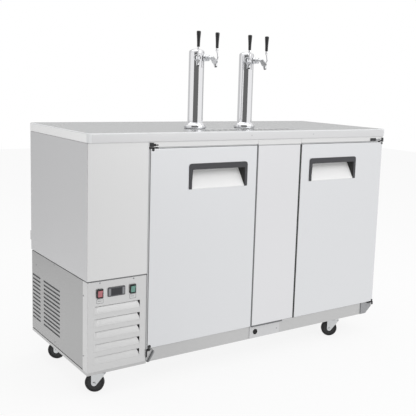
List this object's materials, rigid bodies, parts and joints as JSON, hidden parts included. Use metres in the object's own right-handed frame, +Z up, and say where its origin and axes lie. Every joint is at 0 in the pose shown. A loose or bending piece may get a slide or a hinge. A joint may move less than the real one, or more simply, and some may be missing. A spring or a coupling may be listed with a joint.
{
  "type": "draft beer cooler",
  "caption": "Low stainless back-bar keg cooler on swivel casters, with a side compressor bay, swing doors, tap towers and a drip tray in its worktop.",
  "frame": {"origin": "on the floor, under the middle of the worktop", "axes": "+X to the right seen from the front, +Y to the back, +Z up; the doors and taps face -Y"},
  "size_m": [1.56, 0.622, 1.441],
  "materials": {
    "stainless_steel": "satin",
    "liner_steel": "satin",
    "zinc_steel": "satin",
    "polished_chrome": "polished",
    "copper": "satin",
    "black_paint": "satin",
    "black_plastic": "matte",
    "grey_plastic": "matte",
    "white_plastic": "matte",
    "fan_plastic": "matte",
    "red_rocker": "gloss",
    "green_rocker": "gloss",
    "gasket_rubber": "matte",
    "caster_rubber": "matte",
    "line_tube": "matte"
  },
  "bodies": {
    "cabinet": {"worktop": "stainless_steel", "drip_tray": "stainless_steel", "drip_grid": "stainless_steel", "cabinet_shell": "stainless_steel", "cabinet_liner": "liner_steel", "centre_panel": "stainless_steel", "base_frame": "zinc_steel", "drain_plug": "black_plastic", "grille_panel": "stainless_steel", "bay_cover": "zinc_steel", "controller": "grey_plastic", "power_switch_body": "black_plastic", "light_switch_body": "black_plastic", "compressor": "black_paint", "condenser_coil": "copper", "condenser_fan_shroud": "black_paint", "evaporator_coil": "copper", "evaporator_cover": "white_plastic", "left_door_upper_hinge": "black_paint", "left_door_lower_hinge": "zinc_steel", "right_door_upper_hinge": "black_paint", "right_door_lower_hinge": "zinc_steel", "left_tower_column": "polished_chrome", "left_tower_flange": "polished_chrome", "left_tower_beer_lines": "line_tube", "left_tower_left_faucet": "polished_chrome", "left_tower_right_faucet": "polished_chrome", "right_tower_column": "polished_chrome", "right_tower_flange": "polished_chrome", "right_tower_beer_lines": "line_tube", "right_tower_left_faucet": "polished_chrome", "right_tower_right_faucet": "polished_chrome", "front_left_caster_plate": "zinc_steel", "front_right_caster_plate": "zinc_steel", "rear_left_caster_plate": "zinc_steel", "rear_right_caster_plate": "zinc_steel"},
    "left_door": {"left_door_leaf": "stainless_steel", "left_door_gasket": "gasket_rubber", "left_door_handle_tub": "black_plastic", "left_door_pull_plate": "stainless_steel"},
    "right_door": {"right_door_leaf": "stainless_steel", "right_door_gasket": "gasket_rubber", "right_door_handle_tub": "black_plastic", "right_door_pull_plate": "stainless_steel"},
    "left_tower_left_tap": {"left_tower_left_tap": "black_plastic"},
    "left_tower_right_tap": {"left_tower_right_tap": "black_plastic"},
    "right_tower_left_tap": {"right_tower_left_tap": "black_plastic"},
    "right_tower_right_tap": {"right_tower_right_tap": "black_plastic"},
    "power_rocker": {"power_rocker": "red_rocker"},
    "light_rocker": {"light_rocker": "green_rocker"},
    "condenser_fan": {"condenser_fan": "fan_plastic"},
    "evaporator_fan": {"evaporator_fan": "fan_plastic"},
    "front_left_caster_turn": {"front_left_caster_fork": "zinc_steel"},
    "front_left_caster_roll": {"front_left_caster_wheel": "caster_rubber"},
    "front_right_caster_turn": {"front_right_caster_fork": "zinc_steel"},
    "front_right_caster_roll": {"front_right_caster_wheel": "caster_rubber"},
    "rear_left_caster_turn": {"rear_left_caster_fork": "zinc_steel"},
    "rear_left_caster_roll": {"rear_left_caster_wheel": "caster_rubber"},
    "rear_right_caster_turn": {"rear_right_caster_fork": "zinc_steel"},
    "rear_right_caster_roll": {"rear_right_caster_wheel": "caster_rubber"}
  },
  "joints": [
    {"name": "left_door_swing", "type": "hinge", "parent": "cabinet", "child": "left_door", "pos_m": [-0.5025, -0.289, 0.5655], "axis": [0, 0, -1], "range_deg": [0, 100]},
    {"name": "right_door_swing", "type": "hinge", "parent": "cabinet", "child": "right_door", "pos_m": [0.764, -0.289, 0.5655], "axis": [0, 0, 1], "range_deg": [0, 100]},
    {"name": "left_tower_left_tap_pull", "type": "hinge", "parent": "cabinet", "child": "left_tower_left_tap", "pos_m": [-0.24308, -0.19582, 1.321], "axis": [0.8788, -0.4772, 0], "range_deg": [0, 40]},
    {"name": "left_tower_right_tap_pull", "type": "hinge", "parent": "cabinet", "child": "left_tower_right_tap", "pos_m": [-0.15304, -0.18952, 1.321], "axis": [0.8039, 0.5948, 0], "range_deg": [0, 40]},
    {"name": "right_tower_left_tap_pull", "type": "hinge", "parent": "cabinet", "child": "right_tower_left_tap", "pos_m": [0.01992, -0.19582, 1.321], "axis": [0.8788, -0.4772, 0], "range_deg": [0, 40]},
    {"name": "right_tower_right_tap_pull", "type": "hinge", "parent": "cabinet", "child": "right_tower_right_tap", "pos_m": [0.10996, -0.18952, 1.321], "axis": [0.8039, 0.5948, 0], "range_deg": [0, 40]},
    {"name": "power_rocker_press", "type": "hinge", "parent": "cabinet", "child": "power_rocker", "pos_m": [-0.724, -0.3015, 0.421], "axis": [1, 0, 0], "range_deg": [-16, 0]},
    {"name": "light_rocker_press", "type": "hinge", "parent": "cabinet", "child": "light_rocker", "pos_m": [-0.584, -0.3015, 0.421], "axis": [1, 0, 0], "range_deg": [-16, 0]},
    {"name": "condenser_fan_spin", "type": "hinge", "parent": "cabinet", "child": "condenser_fan", "pos_m": [-0.65, -0.184, 0.2069], "axis": [0, 1, 0], "continuous": true},
    {"name": "evaporator_fan_spin", "type": "hinge", "parent": "cabinet", "child": "evaporator_fan", "pos_m": [-0.493, 0.003, 0.8279], "axis": [1, 0, 0], "continuous": true},
    {"name": "front_left_caster_swivel", "type": "hinge", "parent": "cabinet", "child": "front_left_caster_turn", "pos_m": [-0.693, -0.248, 0.09], "axis": [0, 0, 1], "continuous": true},
    {"name": "front_left_caster_spin", "type": "hinge", "parent": "front_left_caster_turn", "child": "front_left_caster_roll", "pos_m": [-0.71333, -0.23345, 0.0385], "axis": [0.5821, 0.8131, 0], "continuous": true},
    {"name": "front_right_caster_swivel", "type": "hinge", "parent": "cabinet", "child": "front_right_caster_turn", "pos_m": [0.569, -0.248, 0.09], "axis": [0, 0, 1], "continuous": true},
    {"name": "front_right_caster_spin", "type": "hinge", "parent": "front_right_caster_turn", "child": "front_right_caster_roll", "pos_m": [0.54867, -0.23345, 0.0385], "axis": [0.5821, 0.8131, 0], "continuous": true},
    {"name": "rear_left_caster_swivel", "type": "hinge", "parent": "cabinet", "child": "rear_left_caster_turn", "pos_m": [-0.693, 0.15, 0.09], "axis": [0, 0, 1], "continuous": true},
    {"name": "rear_left_caster_spin", "type": "hinge", "parent": "rear_left_caster_turn", "child": "rear_left_caster_roll", "pos_m": [-0.71333, 0.16455, 0.0385], "axis": [0.5821, 0.8131, 0], "continuous": true},
    {"name": "rear_right_caster_swivel", "type": "hinge", "parent": "cabinet", "child": "rear_right_caster_turn", "pos_m": [0.569, 0.15, 0.09], "axis": [0, 0, 1], "continuous": true},
    {"name": "rear_right_caster_spin", "type": "hinge", "parent": "rear_right_caster_turn", "child": "rear_right_caster_roll", "pos_m": [0.54867, 0.16455, 0.0385], "axis": [0.5821, 0.8131, 0], "continuous": true}
  ]
}
